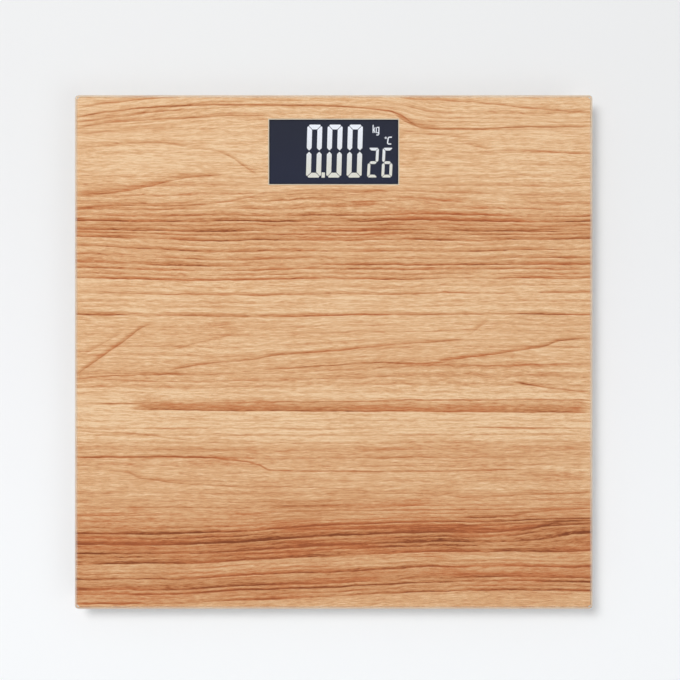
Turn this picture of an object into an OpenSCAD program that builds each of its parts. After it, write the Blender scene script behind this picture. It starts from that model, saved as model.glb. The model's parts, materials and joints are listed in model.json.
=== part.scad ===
// Digital bathroom scale: a printed glass platform bonded to a moulded tray, which stands on
// four load cells with sprung feet and holds a backlit display, its board and two AAA cells.
// Millimetres. +Z is up, the floor is z = 0, +X is to the right and the display is near +Y.

/* [Platform] */
// Width of the glass, along X
platform_w = 280; // [230:1:340]
// Depth of the glass, along Y
platform_d = 278; // [230:1:340]
// Thickness of the glass
glass_t = 5; // [4:0.5:8]
// Radius of the glass's corners
glass_corner_r = 2; // [1.6:0.2:6]
// Width of the ground arris along the glass's edges
glass_arris = 1; // [0.4:0.1:1.4]
// Thickness of the printed decor film under the glass
film_t = 0.18; // [0.1:0.02:0.4]

/* [Display] */
// Width of the clear window in the film
window_w = 70; // [54:1:84]
// Depth of the clear window in the film
window_d = 35; // [28:1:42]
// From the glass's rear edge to the window
window_edge = 13; // [12:1:30]
// Thickness of the display's two glass plates together
lcd_t = 2.2; // [1.8:0.1:2.4]
// Thickness of each polarizer on the display
polarizer_t = 0.3; // [0.2:0.05:0.4]
// Thickness of the backlight's light guide
guide_t = 2.2; // [1.8:0.1:2.6]

/* [Tray] */
// From the glass's edge in to the tray's wall
tray_inset = 4; // [2:0.5:4.5]
// Least height of the tray
tray_h = 13.5; // [13.5:0.5:18]
// Radius of the tray's upright corners
tray_corner_r = 6; // [4:0.5:12]
// Radius of the tray's bottom edge
tray_fillet = 3; // [2.2:0.1:3.8]
// Thickness of the tray's wall
tray_wall = 2; // [1.6:0.1:2.6]
// Thickness of the tray's floor
tray_floor = 1.8; // [1.6:0.1:2.2]
// Thickness of the tray's ribs
rib_t = 1.4; // [1:0.1:2]
// Width of the bonding tape
tape_w = 4.5; // [3:0.5:5]
// Thickness of the bonding tape
tape_t = 0.8; // [0.5:0.1:1.2]

/* [Feet] */
// Height of the tray's floor above the ground
foot_lift = 4.5; // [3.5:0.5:8]
// From the glass's edges in to a foot's centre
foot_inset = 34; // [32:1:44]
// Radius of a foot
foot_r = 20.5; // [18.5:0.5:24]
// Radius of the rubber pad under a foot
pad_r = 17.5; // [12:0.5:18]
// Thickness of the rubber pad
pad_t = 2; // [1.4:0.1:3]
// How far a foot rises as its load cell bends at full load
foot_travel = 0.7; // [0.3:0.1:1]

/* [Load cells] */
// Side of the square load cell
cell_w = 32; // [29:0.5:34]
// Thickness of the load cell's steel
cell_t = 2; // [1.6:0.1:2.4]
// From the tray's underside up to the load cell
cell_rise = 7.1; // [6.9:0.1:8]

/* [Batteries] */
// Radius of a battery
battery_r = 5.25; // [5:0.05:6.3]
// Length of a battery with its positive button
battery_l = 44.5; // [40:0.5:50]

/* [Unit button] */
// Radius of the unit button
button_r = 4.3; // [3:0.1:5]
// Travel of the unit button
button_travel = 0.5; // [0.2:0.05:0.6]

/* [Hidden] */
$fn = 64;
eps = 0.01;
// How far a piece is sunk into the one it is moulded with
sink = 0.4;

CORNERS = [
    ["front_left", -1, -1], ["front_right", 1, -1],
    ["rear_left", -1, 1], ["rear_right", 1, 1]
];
function per_corner(part) = [for (c = CORNERS) str(part, "_", c[0])];

// Heights, from the floor up. The tray is deeper than tray_h where its batteries need the room
door_t = 1.6;
battery_door_gap = 0.3;
battery_ceiling_gap = 0.1;
bay_roof_t = 1;
bay_h = door_t + battery_door_gap + 2 * battery_r + battery_ceiling_gap;
tray_depth = max(tray_h, bay_h + bay_roof_t);
tray_z = foot_lift;
floor_z = tray_z + tray_floor;
rim_z = tray_z + tray_depth;
film_z = rim_z + tape_t;
film_bond = 0.02;
glass_z = film_z + film_t + film_bond;

// Tray
tray_w = platform_w - 2 * tray_inset;
tray_d = platform_d - 2 * tray_inset;
inner_w = tray_w - 2 * tray_wall;
inner_d = tray_d - 2 * tray_wall;
rim_land = 6;
rim_land_h = 2;
film_inset = glass_arris;
tape_edge = 0.5;

// Display stack, hung from the film: gasket, polarizer, glass, polarizer, films and light guide
window_y = platform_d / 2 - window_edge - window_d / 2;
gasket_t = 0.4;
backlight_film_t = 0.3;
lcd_border_x = 4;
lcd_border_y = 4.5;
lcd_w = window_w + 2 * lcd_border_x;
lcd_d = window_d + 2 * lcd_border_y;
lcd_top_z = film_z - gasket_t;
lcd_glass_z = lcd_top_z - polarizer_t - lcd_t;
rear_polarizer_z = lcd_glass_z - polarizer_t;
diffuser_z = rear_polarizer_z - backlight_film_t;
guide_z = diffuser_z - guide_t;
board_top_z = guide_z - backlight_film_t;
board_t = 1.6;
board_z = board_top_z - board_t;
zebra_w = 2.4;
zebra_inset = 0.3;
zebra_l = window_w - 6;
lcd_ledge = zebra_w + zebra_inset;
guide_w = window_w + 2;
guide_d = window_d + 1;
guide_y = 0.5;
led_size = [1.6, 3, 1.5];
led_gap = 0.3;
holder_gap = 0.2;
holder_wall = 1.2;
holder_w = lcd_w + 2 * (holder_gap + holder_wall);
holder_d = lcd_d + 2 * (holder_gap + holder_wall);
holder_top_z = rim_z - 0.2;
holder_room = 1;
holder_room_y0 = window_y - holder_d / 2 - holder_room;

// Board
lug_w = 7.5;
lug_r = 3.4;
lug_t = 2;
board_w = holder_w + 2 * lug_w;
board_apron = 20;
board_y0 = window_y - holder_d / 2 - board_apron;
board_y1 = window_y + holder_d / 2 + 0.5;
board_corner_r = 1.5;
parts_y = board_y0 + 9;
board_screw_x = board_w / 2 - lug_w / 2;
board_screw_dy = holder_d / 2 - 7;
board_gap = 0.8;
post_r = 3;
lead_post_r = 2;

// Screws
screw_r = 1;
screw_hole_r = 1.3;
pilot_r = screw_r + 0.05;
head_r = 2.1;
head_t = 1.5;
head_dome_r = 4.2;
recess_w = 0.5;
recess_l = 2.3;
recess_depth = 0.7;
screw_l = 6;
screw_end_gap = 0.6;
board_pilot_z = board_top_z + lug_t - screw_l - screw_end_gap;

// Wires
wire_r = 0.5;
wire_pitch = 1.3;
wire_gap = 0.1;

// Feet, load cells and the wells they sit in
foot_x = platform_w / 2 - foot_inset;
foot_y = platform_d / 2 - foot_inset;
foot_side_gap = 1;
well_r = foot_r + foot_side_gap;
well_wall = 1.8;
well_out_r = well_r + well_wall;
well_collar = 0.4;
cell_z = tray_z + cell_rise;
cell_top_z = cell_z + cell_t;
cell_corner_r = 5;
cell_button_r = 2.5;
bend_play = 0.1;
cell_button_h = foot_travel + bend_play;
bend_space = foot_travel + 0.5;
bend_r = cell_w / 2 - 3;
notch_w = 3 * wire_pitch + 0.6;
notch_l = well_out_r - bend_r + 4;
notch_z = cell_top_z + 2 * wire_r + 0.4;
well_top_z = rim_z - 1;
pad_seat = 1;
pad_gap = 0.2;
foot_z = pad_t - pad_seat;
foot_base_t = 2;
foot_skirt_top_z = tray_z + 2;
foot_skirt_t = 1.5;
foot_fillet = 0.8;
boss_r = 5;
retainer_t = 2.2;
retainer_lip_t = 0.8;
retainer_z = cell_z - retainer_t;
retainer_gap = 0.3;
retainer_bore_r = 13.4;
retainer_step_r = cell_w / 2 + 0.2;
arm_gap = 0.3;
arm_t = 1.5;
arm_angle = 36;
arm_turn = 30;
barb_reach = 1.2;
barb_gap = 0.05;
cell_screw_r = 2.4;
cell_screw_y = cell_w / 2 + cell_screw_r + 0.3;
gauge_size = [7, 8, 0.9];
gauge_corner_r = 1;
gauge_x = -cell_w / 2 + 4;

// Battery bay
battery_gap = 0.4;
battery_nub_r = 1.9;
battery_nub_l = 1.2;
spring_l = 5.4;
contact_t = 0.4;
bay_w = battery_l + spring_l + 2 * contact_t;
bay_d = 4 * battery_r + 3 * battery_gap;
door_ledge = 2.6;
door_gap = 0.25;
barrel_r = 1;
hinge_pin_r = 0.5;
hinge_pin_l = 1.2;
hinge_clearance = 0.05;
door_w = bay_w + 2 * door_ledge;
door_d = bay_d + 2 * door_ledge;
door_recess_top_z = tray_z + 2 * barrel_r + 0.2;
hinge_x = -door_w / 2 + barrel_r;
hinge_z = tray_z + barrel_r;
bay_wall = 1.5;
bay_top_z = rim_z;
contact_w = 2 * battery_r - 2;
tab_w = 3;
tab_gap = 0.2;
tab_l = door_ledge + door_gap + bay_wall + 3;
battery_z = tray_z + door_t + battery_door_gap + battery_r;
bay_ceiling_z = tray_z + bay_h;
bay_block_w = door_w + 2 * (door_gap + bay_wall);
bay_block_d = door_d + 2 * (door_gap + bay_wall);
bay_clear = 13;
bay_y = board_y0 - bay_clear - bay_block_d / 2;
cell_dy = battery_r + battery_gap / 2;
latch_w = 12;
latch_t = 1;
latch_h = 5;
latch_barb = 0.8;
latch_catch_z = tray_z + door_t + latch_h - 2.2;
latch_pocket_z = tray_z + door_t + latch_h + 0.6;
dip_r = 10;
dip_depth = 1;
dip_x = 2;

// Unit button and its switch
button_x = -board_w / 2 + 18;
button_y = parts_y;
button_recess = 0.3;
button_gap = 0.2;
button_flange_r = button_r + 1.3;
button_flange_z = floor_z + 0.1;
button_flange_t = 0.6;
button_stem_r = 2;
dish_r = 20;
dish_depth = 0.2;
guard_r = button_flange_r + 0.4;
guard_t = 1.2;
guard_h = 1.4;
switch_size = [6, 6, 2.4];
plunger_r = 1.7;
plunger_gap = 0.1;
plunger_top_z = board_z - 1.3;
plunger_z = board_z - switch_size[2] - 0.9;

// The wires' routes
wire_bend = 3;
wire_rise = 2.4;
wire_z = floor_z + wire_r + wire_gap;
lane_x = foot_x - well_out_r - 3 * wire_bend;
lane_w = 7;
front_lead_y = window_y - board_screw_dy - lug_w / 2 - 3 * wire_pitch;
rear_lead_y = foot_y;

// Label on the tray's underside
label_size = [64, 34, 0.15];
label_recess = 0.25;
label_gap = 0.6;
label_corner_r = 2;
label_y = -foot_y / 2;

// ---- Shared shapes ----

module rounded_square(w, d, r) {
    square([w - 2 * r, d], center = true);
    square([w, d - 2 * r], center = true);
    for (x = [-1, 1], y = [-1, 1])
        translate([x * (w / 2 - r), y * (d / 2 - r)]) circle(r);
}

// A w by d box centred on X and Y, from height z0 to z1
module block(w, d, z0, z1) {
    translate([-w / 2, -d / 2, z0]) cube([w, d, z1 - z0]);
}

module ring(outer_r, inner_r, h) {
    difference() {
        cylinder(h = h, r = outer_r);
        translate([0, 0, -eps]) cylinder(h = h + 2 * eps, r = inner_r);
    }
}

// Half of an edge's cross-section, out from the corner's centre: square on top, round below
module fillet_profile(r, h, fillet) {
    translate([0, fillet]) square([r, h - fillet]);
    square([r - fillet, h]);
    translate([r - fillet, fillet]) circle(fillet);
}

// The same for an edge with a 45 degree arris above and below
module arris_profile(r, h, arris) {
    polygon([[0, 0], [r - arris, 0], [r, arris], [r, h - arris], [r - arris, h], [0, h]]);
}

// One run of a slab's edges: the profile in children() on both sides of a plain middle
module slab_run(length, across, h, r) {
    rotate([90, 0, 90]) linear_extrude(length, center = true) {
        translate([r - across / 2, 0]) square([across - 2 * r, h]);
        for (s = [0, 1]) mirror([s, 0]) translate([across / 2 - r, 0]) children();
    }
}

// A w by d slab of height h on z = 0 with corners of radius r and the edge profile in children()
module edged_slab(w, d, h, r) {
    slab_run(w - 2 * r, d, h, r) children();
    rotate(90) slab_run(d - 2 * r, w, h, r) children();
    for (i = [0:3])
        rotate(90 * i)
            translate([(i % 2 == 0 ? w : d) / 2 - r, (i % 2 == 0 ? d : w) / 2 - r])
                rotate_extrude(angle = 90) children();
}

// Puts children() at a foot, mirrored so that local -X points at the scale's middle
module at_foot(corner) {
    translate([corner[1] * foot_x, corner[2] * foot_y, 0])
        mirror([corner[1] < 0 ? 1 : 0, 0, 0]) children();
}

module pan_screw() {
    difference() {
        union() {
            rotate_extrude() intersection() {
                translate([0, head_t - head_dome_r]) circle(head_dome_r);
                square([head_r, head_t]);
            }
            translate([0, 0, -screw_l]) cylinder(h = screw_l + eps, r = screw_r);
        }
        for (a = [0, 90])
            rotate(a) block(recess_l, recess_w, head_t - recess_depth, head_t + 1);
    }
}

// ---- Sweeps along a path ----

function unit(v) = v / norm(v);
function corner_arc(a, p, b, n) =
    [for (i = [0:n]) let (t = i / n) (1 - t) * (1 - t) * a + 2 * t * (1 - t) * p + t * t * b];
// The vector v at length r, or at just under half its own length if that is less
function shorter(v, r) = unit(v) * min(r, norm(v) / 2.1);
// The path through points with each inner corner rounded over a length of r on both sides
function rounded_path(points, r, n = 3) = concat(
    [points[0]],
    [for (i = [1:len(points) - 2])
        let (p = points[i], a = points[i - 1] - p, b = points[i + 1] - p)
            each corner_arc(p + shorter(a, r), p, p + shorter(b, r), n)],
    [points[len(points) - 1]]
);
function tangents(path) = let (last = len(path) - 1)
    [for (i = [0:last]) unit(path[min(i + 1, last)] - path[max(i - 1, 0)])];
function level(v, t) = unit(v - (v * t) * t);
function sides(t) =
    [for (i = 0, s = level(abs(t[0][2]) < 0.9 ? [0, 0, 1] : [1, 0, 0], t[0]);
          i < len(t);
          i = i + 1, s = i < len(t) ? level(s, t[i]) : s) s];

// A closed tube of radius r along path
module tube(path, r, n = 8) {
    t = tangents(path);
    s = sides(t);
    last = len(path) - 1;
    points = [
        for (i = [0:last], k = [0:n - 1])
            path[i] + r * (cos(360 * k / n) * s[i] + sin(360 * k / n) * cross(t[i], s[i]))
    ];
    skin = [
        for (i = [0:last - 1], k = [0:n - 1]) let (m = (k + 1) % n)
            [i * n + k, (i + 1) * n + k, (i + 1) * n + m, i * n + m]
    ];
    polyhedron(points, concat([[for (k = [0:n - 1]) k]], skin, [[for (k = [n - 1:-1:0]) last * n + k]]));
}

// ---- Platform ----

module glass_platform() {
    color([0.75, 0.9, 0.85, 0.5]) translate([0, 0, glass_z])
        edged_slab(platform_w, platform_d, glass_t, glass_corner_r)
            arris_profile(glass_corner_r, glass_t, glass_arris);
}

module woodgrain_film() {
    w = platform_w - 2 * film_inset;
    d = platform_d - 2 * film_inset;
    color("burlywood") translate([0, 0, film_z]) linear_extrude(film_t) difference() {
        rounded_square(w, d, glass_corner_r - film_inset / 2);
        translate([0, window_y]) square([window_w, window_d], center = true);
    }
}

module bonding_tape() {
    w = tray_w - 2 * tape_edge;
    d = tray_d - 2 * tape_edge;
    r = tray_corner_r - tape_edge;
    color("whitesmoke") translate([0, 0, rim_z]) linear_extrude(tape_t) difference() {
        rounded_square(w, d, r);
        rounded_square(w - 2 * tape_w, d - 2 * tape_w, max(r - tape_w, 0.5));
        translate([0, window_y])
            square([lcd_w + 2 * holder_gap, lcd_d + 2 * holder_gap], center = true);
    }
}

module support_pads() {
    color("dimgray") for (c = CORNERS)
        at_foot(c) translate([0, 0, well_top_z]) cylinder(h = film_z - well_top_z, r = bend_r);
}

// ---- Tray ----

module tray_shell() {
    difference() {
        translate([0, 0, tray_z]) edged_slab(tray_w, tray_d, tray_depth, tray_corner_r)
            fillet_profile(tray_corner_r, tray_depth, tray_fillet);
        tray_cavity();
    }
    translate([0, 0, rim_z - rim_land_h]) linear_extrude(rim_land_h) difference() {
        rounded_square(tray_w - 1, tray_d - 1, tray_corner_r - 0.5);
        rounded_square(tray_w - 2 * rim_land, tray_d - 2 * rim_land, 1);
    }
}

module tray_cavity() {
    h = tray_depth - tray_floor;
    r = tray_corner_r - tray_wall;
    fillet = min(max(tray_fillet - tray_wall, 0.5), r - 0.2);
    translate([0, 0, floor_z]) edged_slab(inner_w, inner_d, h + 1, r)
        fillet_profile(r, h + 1, fillet);
}

// Straight ribs on the floor, cut away where the board, the bay, the wells and the leads are
module tray_ribs() {
    bay_front_y = bay_y - bay_block_d / 2;
    board_rib_x = board_w / 2 + 6;
    rib_z = rim_z - 0.5;
    cross_ribs = concat(
        [for (i = [0:3]) -foot_y + i * (bay_front_y + foot_y) / 4],
        [bay_y, bay_y + bay_block_d / 2 + bay_clear / 2, foot_y]
    );
    difference() {
        intersection() {
            union() {
                for (y = cross_ribs)
                    translate([0, y, 0]) block(inner_w + 2 * sink, rib_t, floor_z - sink, rib_z);
                for (x = [-foot_x, -board_rib_x, board_rib_x, foot_x])
                    translate([x, 0, 0]) block(rib_t, inner_d + 2 * sink, floor_z - sink, rib_z);
                translate([0, bay_front_y - inner_d / 2, 0])
                    block(rib_t, inner_d, floor_z - sink, rib_z);
            }
            block(inner_w + 2 * sink, inner_d + 2 * sink, floor_z - sink, rim_z);
        }
        translate([0, (board_y0 + inner_d / 2) / 2, 0])
            block(board_w + 2 * board_gap, inner_d / 2 - board_y0 + 2 * board_gap, floor_z, rim_z);
        translate([0, bay_y, 0])
            block(bay_block_w - 2 * sink, bay_block_d - 2 * sink, floor_z - 1, rim_z);
        for (c = CORNERS) at_foot(c) cylinder(h = rim_z, r = well_out_r - sink);
        lead_lanes();
    }
}

// The space along which the leads run through the ribs
module lead_lanes() {
    top_z = rim_z + 1;
    lane_y0 = -foot_y - lane_w / 2;
    lane_y1 = rear_lead_y + lane_w / 2 + wire_pitch;
    reach = lane_x - board_w / 2 + lane_w;
    for (s = [-1, 1]) {
        translate([s * lane_x, (lane_y0 + front_lead_y) / 2, 0])
            block(lane_w, front_lead_y - lane_y0 + lane_w, floor_z, top_z);
        translate([s * (board_w / 2 + reach / 2), (front_lead_y + lane_y1 - lane_w / 2) / 2, 0])
            block(reach, lane_y1 - front_lead_y + lane_w, floor_z, top_z);
        translate([s * (lane_x + lane_w), rear_lead_y, 0]) block(2 * lane_w, lane_w, floor_z, top_z);
        translate([s * (lane_x + lane_w), -foot_y, 0]) block(2 * lane_w, lane_w, floor_z, top_z);
    }
    translate([-bay_block_w / 2 - lane_w / 2 + sink, (bay_y + board_y0) / 2, 0])
        block(lane_w, board_y0 - bay_y + 4 * lane_w, floor_z, top_z);
}

// The well round one load cell, open below, and what is cut out of it
module well_body() {
    translate([0, 0, tray_z - well_collar])
        cylinder(h = well_top_z - tray_z + well_collar, r = well_out_r);
}

module well_space() {
    difference() {
        translate([0, 0, tray_z - 1]) cylinder(h = cell_top_z - tray_z + 1, r = well_r);
        for (y = [-1, 1] * cell_screw_y)
            translate([0, y, cell_z]) cylinder(h = cell_t + 1, r = cell_screw_r);
    }
    translate([0, 0, cell_top_z - eps]) cylinder(h = bend_space + eps, r = bend_r);
    translate([-notch_l / 2 - bend_r + 2, 0, 0]) block(notch_l, notch_w, cell_top_z - eps, notch_z);
    for (y = [-1, 1] * cell_screw_y)
        translate([0, y, cell_z - eps]) cylinder(h = screw_l - retainer_t + screw_end_gap, r = pilot_r);
}

module bay_space() {
    translate([0, 0, tray_z - 1]) {
        linear_extrude(door_recess_top_z - tray_z + 1)
            square([door_w + 2 * door_gap, door_d + 2 * door_gap], center = true);
        linear_extrude(bay_ceiling_z - tray_z + 1) square([bay_w, bay_d], center = true);
    }
    translate([hinge_x, 0, hinge_z]) rotate([90, 0, 0])
        cylinder(h = door_d + 2 * hinge_pin_l + 0.4, r = hinge_pin_r + hinge_clearance, center = true);
    // The latch's pocket, and above the catch the wider room for its barb
    translate([door_w / 2 - latch_t, 0, 0])
        block(2 * latch_t + 2 * door_gap, latch_w + 1, door_recess_top_z - eps, latch_pocket_z);
    translate([door_w / 2, 0, 0])
        block(2 * (latch_barb + 2 * door_gap), latch_w + 1, latch_catch_z, latch_pocket_z);
    // A fingertip's dip at the door's latch end
    translate([door_w / 2 + dip_x, 0, tray_z + dip_depth - dip_r]) sphere(dip_r);
    for (y = [-1, 1] * cell_dy)
        translate([-bay_w / 2, y, battery_z])
            cube([2 * tab_l, tab_w + 2 * tab_gap, contact_t + 2 * tab_gap], center = true);
}

module board_posts() {
    for (x = [-1, 1] * board_screw_x) {
        for (y = [-1, 1] * board_screw_dy)
            translate([x, window_y + y, floor_z - sink]) cylinder(h = board_z - floor_z + sink, r = post_r);
        translate([x, board_y0 + 2 * lead_post_r, floor_z - sink])
            cylinder(h = board_z - floor_z + sink, r = lead_post_r);
    }
}

module base_tray() {
    color("whitesmoke") difference() {
        union() {
            tray_shell();
            tray_ribs();
            board_posts();
            for (c = CORNERS) at_foot(c) well_body();
            translate([0, bay_y, 0]) block(bay_block_w, bay_block_d, tray_z + eps, bay_top_z);
            translate([button_x, button_y, floor_z - sink])
                ring(guard_r + guard_t, guard_r, sink + guard_h);
        }
        for (c = CORNERS) at_foot(c) well_space();
        translate([0, bay_y, 0]) bay_space();
        translate([button_x, button_y, tray_z - 1])
            cylinder(h = tray_floor + 2, r = button_r + button_gap);
        for (x = [-1, 1] * board_screw_x, y = [-1, 1] * board_screw_dy)
            translate([x, window_y + y, board_pilot_z])
                cylinder(h = board_z - board_pilot_z + 1, r = pilot_r);
        translate([0, (holder_room_y0 + inner_d / 2) / 2, 0])
            block(holder_w + 2 * holder_room, inner_d / 2 - holder_room_y0, board_z, rim_z + 1);
        translate([0, label_y, 0])
            block(label_size[0] + label_gap, label_size[1] + label_gap, tray_z - 1, tray_z + label_recess);
    }
}

module rating_label() {
    color("silver") translate([0, label_y, tray_z + label_recess - label_size[2]])
        linear_extrude(label_size[2]) rounded_square(label_size[0], label_size[1], label_corner_r);
}

// ---- Feet and load cells ----

module foot_pad() {
    chamfer = 0.4;
    groove_w = 1.4;
    groove_depth = 0.6;
    color("dimgray") difference() {
        rotate_extrude() polygon([
            [0, 0], [pad_r - chamfer, 0], [pad_r, chamfer], [pad_r, pad_t], [0, pad_t]
        ]);
        for (i = [1:3])
            translate([0, 0, -eps]) ring(i * pad_r / 4 + groove_w, i * pad_r / 4, groove_depth + eps);
    }
}

module foot() {
    base_top_z = foot_z + pad_seat + foot_base_t;
    contact_z = cell_z - cell_button_h;
    arm_out_r = retainer_bore_r - arm_gap;
    barb_z = retainer_z + retainer_lip_t + barb_gap;
    barb_h = contact_z - barb_z;
    color("whitesmoke") {
        difference() {
            translate([0, 0, foot_z]) rotate_extrude()
                fillet_profile(foot_r, foot_skirt_top_z - foot_z, foot_fillet);
            translate([0, 0, foot_z - eps]) cylinder(h = pad_seat + eps, r = pad_r + pad_gap);
            translate([0, 0, base_top_z])
                cylinder(h = foot_skirt_top_z, r = foot_r - foot_skirt_t);
        }
        translate([0, 0, base_top_z - sink]) cylinder(h = contact_z - base_top_z + sink, r = boss_r);
        for (a = [0, 120, 240]) rotate(a + arm_turn) {
            rotate_extrude(angle = arm_angle) translate([arm_out_r - arm_t, base_top_z - sink])
                square([arm_t, contact_z - base_top_z + sink]);
            rotate_extrude(angle = arm_angle) polygon([
                [arm_out_r - sink, barb_z], [arm_out_r + barb_reach, barb_z],
                [arm_out_r + barb_reach, barb_z + barb_h / 3], [arm_out_r - sink, barb_z + barb_h]
            ]);
        }
    }
}

module cell_retainer() {
    color("gainsboro") difference() {
        translate([0, 0, retainer_z]) cylinder(h = retainer_t, r = well_r - retainer_gap);
        translate([0, 0, retainer_z - eps]) cylinder(h = retainer_t + 1, r = retainer_bore_r);
        translate([0, 0, retainer_z + retainer_lip_t]) cylinder(h = retainer_t, r = retainer_step_r);
        for (y = [-1, 1] * cell_screw_y)
            translate([0, y, retainer_z - eps]) cylinder(h = retainer_t + 1, r = screw_hole_r);
    }
}

// A square steel plate whose tongue is joined to the frame only on the side towards local -X
module load_cell() {
    tongue_w = 12.8;
    slot_w = 2;
    slot_x0 = -8;
    slot_x1 = 10;
    hole_r = 1.2;
    hole_x = cell_w / 2 - cell_corner_r + 0.5;
    color("silver") {
        translate([0, 0, cell_z]) linear_extrude(cell_t) difference() {
            rounded_square(cell_w, cell_w, cell_corner_r);
            for (s = [-1, 1]) {
                translate([slot_x0, s * (tongue_w + slot_w) / 2 - slot_w / 2])
                    square([slot_x1 - slot_x0, slot_w]);
                translate([slot_x0, s * (tongue_w + slot_w) / 2]) circle(slot_w / 2);
                translate([-hole_x, s * hole_x]) circle(hole_r);
            }
            translate([slot_x1 - slot_w, -tongue_w / 2 - slot_w]) square([slot_w, tongue_w + 2 * slot_w]);
        }
        translate([0, 0, cell_z - cell_button_h]) cylinder(h = cell_button_h + sink, r = cell_button_r);
    }
}

module gauge_cover() {
    color("white") translate([gauge_x, 0, cell_top_z]) linear_extrude(gauge_size[2])
        translate([gauge_size[0] / 2, 0]) rounded_square(gauge_size[0], gauge_size[1], gauge_corner_r);
}

module retainer_screws() {
    color("silver") for (c = CORNERS, y = [-1, 1] * cell_screw_y)
        at_foot(c) translate([0, y, retainer_z]) mirror([0, 0, 1]) pan_screw();
}

// ---- Leads ----

// One lead's wire k, from its gauge cover out through the well's notch, along the floor and up
// to the board's edge, on the side of +X
function lead_route(front, k) = let (
    shift = (k - 1) * wire_pitch,
    exit_z = cell_top_z + wire_r + wire_gap,
    y0 = (front ? -foot_y : foot_y) + shift,
    y1 = front ? front_lead_y + shift : y0,
    drop_x = foot_x - well_out_r - wire_bend,
    rise_x = board_w / 2 + wire_rise
) concat(
    [[foot_x + gauge_x, y0, exit_z], [drop_x, y0, exit_z], [drop_x - wire_gap, y0, wire_z]],
    front ? [[lane_x + shift, y0, wire_z], [lane_x + shift, y1, wire_z]] : [],
    [
        [rise_x, y1, wire_z], [rise_x - wire_gap, y1, board_top_z + wire_rise],
        [board_w / 2 - wire_rise, y1, board_top_z + wire_rise],
        [board_w / 2 - wire_rise - wire_gap, y1, board_top_z + wire_gap]
    ]
);

module sensor_lead(corner) {
    mirror([corner[1] < 0 ? 1 : 0, 0, 0])
        for (k = [0:2]) color(["firebrick", "white", "dimgray"][k])
            tube(rounded_path(lead_route(corner[2] < 0, k), wire_bend), wire_r);
}

module battery_leads() {
    rise_y = board_y0 - wire_rise;
    for (k = [0, 1]) {
        y = bay_y + (k == 0 ? -1 : 1) * cell_dy;
        tab_x = -bay_w / 2 - tab_l + contact_t + wire_r;
        x = tab_x - wire_pitch * (1 - k);
        color(["dimgray", "firebrick"][k]) tube(rounded_path([
            [tab_x, y, battery_z - contact_t / 2 - wire_gap], [x, y, wire_z], [x, rise_y, wire_z],
            [x, rise_y + wire_gap, board_top_z + wire_rise],
            [x, board_y0 + wire_rise, board_top_z + wire_rise],
            [x, board_y0 + wire_rise + wire_gap, board_top_z + wire_gap]
        ], wire_bend), wire_r);
    }
}

// ---- Battery bay ----

module battery_door() {
    panel_x0 = hinge_x;
    panel_x1 = door_w / 2;
    grip_count = 5;
    grip_pitch = 2;
    grip_inset = 5;
    grip_w = 0.8;
    grip_l = 12;
    grip_depth = 0.4;
    color("whitesmoke") translate([0, bay_y, 0]) difference() {
        union() {
            translate([panel_x0, -door_d / 2, tray_z]) cube([panel_x1 - panel_x0, door_d, door_t]);
            translate([hinge_x, 0, hinge_z]) rotate([90, 0, 0]) {
                cylinder(h = door_d, r = barrel_r, center = true);
                cylinder(h = door_d + 2 * hinge_pin_l, r = hinge_pin_r, center = true);
            }
        }
        for (i = [0:grip_count - 1])
            translate([panel_x1 - grip_inset - i * grip_pitch, 0, 0])
                block(grip_w, grip_l, tray_z - 1, tray_z + grip_depth);
    }
}

// The door's snap finger: a tongue with a barb that hooks over the catch in the bay's wall
module door_latch() {
    barb_h = 2;
    color("whitesmoke") translate([door_w / 2 - latch_t, bay_y + latch_w / 2, tray_z + door_t])
        rotate([90, 0, 0]) linear_extrude(latch_w) polygon([
            [0, 0], [latch_t, 0], [latch_t, latch_h - barb_h], [latch_t + latch_barb, latch_h - barb_h],
            [latch_t, latch_h], [0, latch_h]
        ]);
}

module battery() {
    shoulder = 0.4;
    body_l = battery_l - battery_nub_l;
    color("steelblue") rotate([0, 90, 0]) {
        translate([0, 0, -battery_l / 2]) rotate_extrude() polygon([
            [0, 0], [battery_r - shoulder, 0], [battery_r, shoulder], [battery_r, body_l - shoulder],
            [battery_r - shoulder, body_l], [0, body_l]
        ]);
        translate([0, 0, battery_l / 2 - battery_nub_l - sink])
            cylinder(h = battery_nub_l + sink, r = battery_nub_r);
    }
}

// A battery and its spring, in the bay's frame. side -1 has its spring at local -X.
module in_bay(side) {
    translate([0, bay_y + side * cell_dy, battery_z]) mirror([side > 0 ? 1 : 0, 0, 0]) children();
}

module battery_at(side) {
    in_bay(side) translate([bay_w / 2 - contact_t - battery_l / 2, 0, 0]) battery();
}

module battery_springs() {
    turns = 3.5;
    steps = 10;
    wire = 0.3;
    gap = 0.05;
    base_r = battery_r - 1;
    tip_r = 2.4;
    reach = spring_l - 2 * (wire + gap);
    color("silver") for (side = [-1, 1]) in_bay(side) tube([
        for (i = [0:turns * steps]) let (t = i / (turns * steps), r = base_r + (tip_r - base_r) * t)
            [
                -bay_w / 2 + contact_t + wire + gap + reach * t,
                r * cos(360 * i / steps), r * sin(360 * i / steps)
            ]
    ], wire, 6);
}

// The plate at one battery's end, with a tab out through the bay's wall for its lead
module contact_plate(side) {
    color("goldenrod") translate([-bay_w / 2, bay_y + side * cell_dy, battery_z]) {
        translate([contact_t / 2, 0, 0]) cube([contact_t, contact_w, contact_w], center = true);
        translate([contact_t - tab_l, -tab_w / 2, -contact_t / 2]) cube([tab_l, tab_w, contact_t]);
    }
}

module contact_bridge() {
    color("goldenrod") translate([bay_w / 2 - contact_t / 2, bay_y, battery_z])
        cube([contact_t, 2 * cell_dy + contact_w, contact_w], center = true);
}

// ---- Unit button ----

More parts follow.
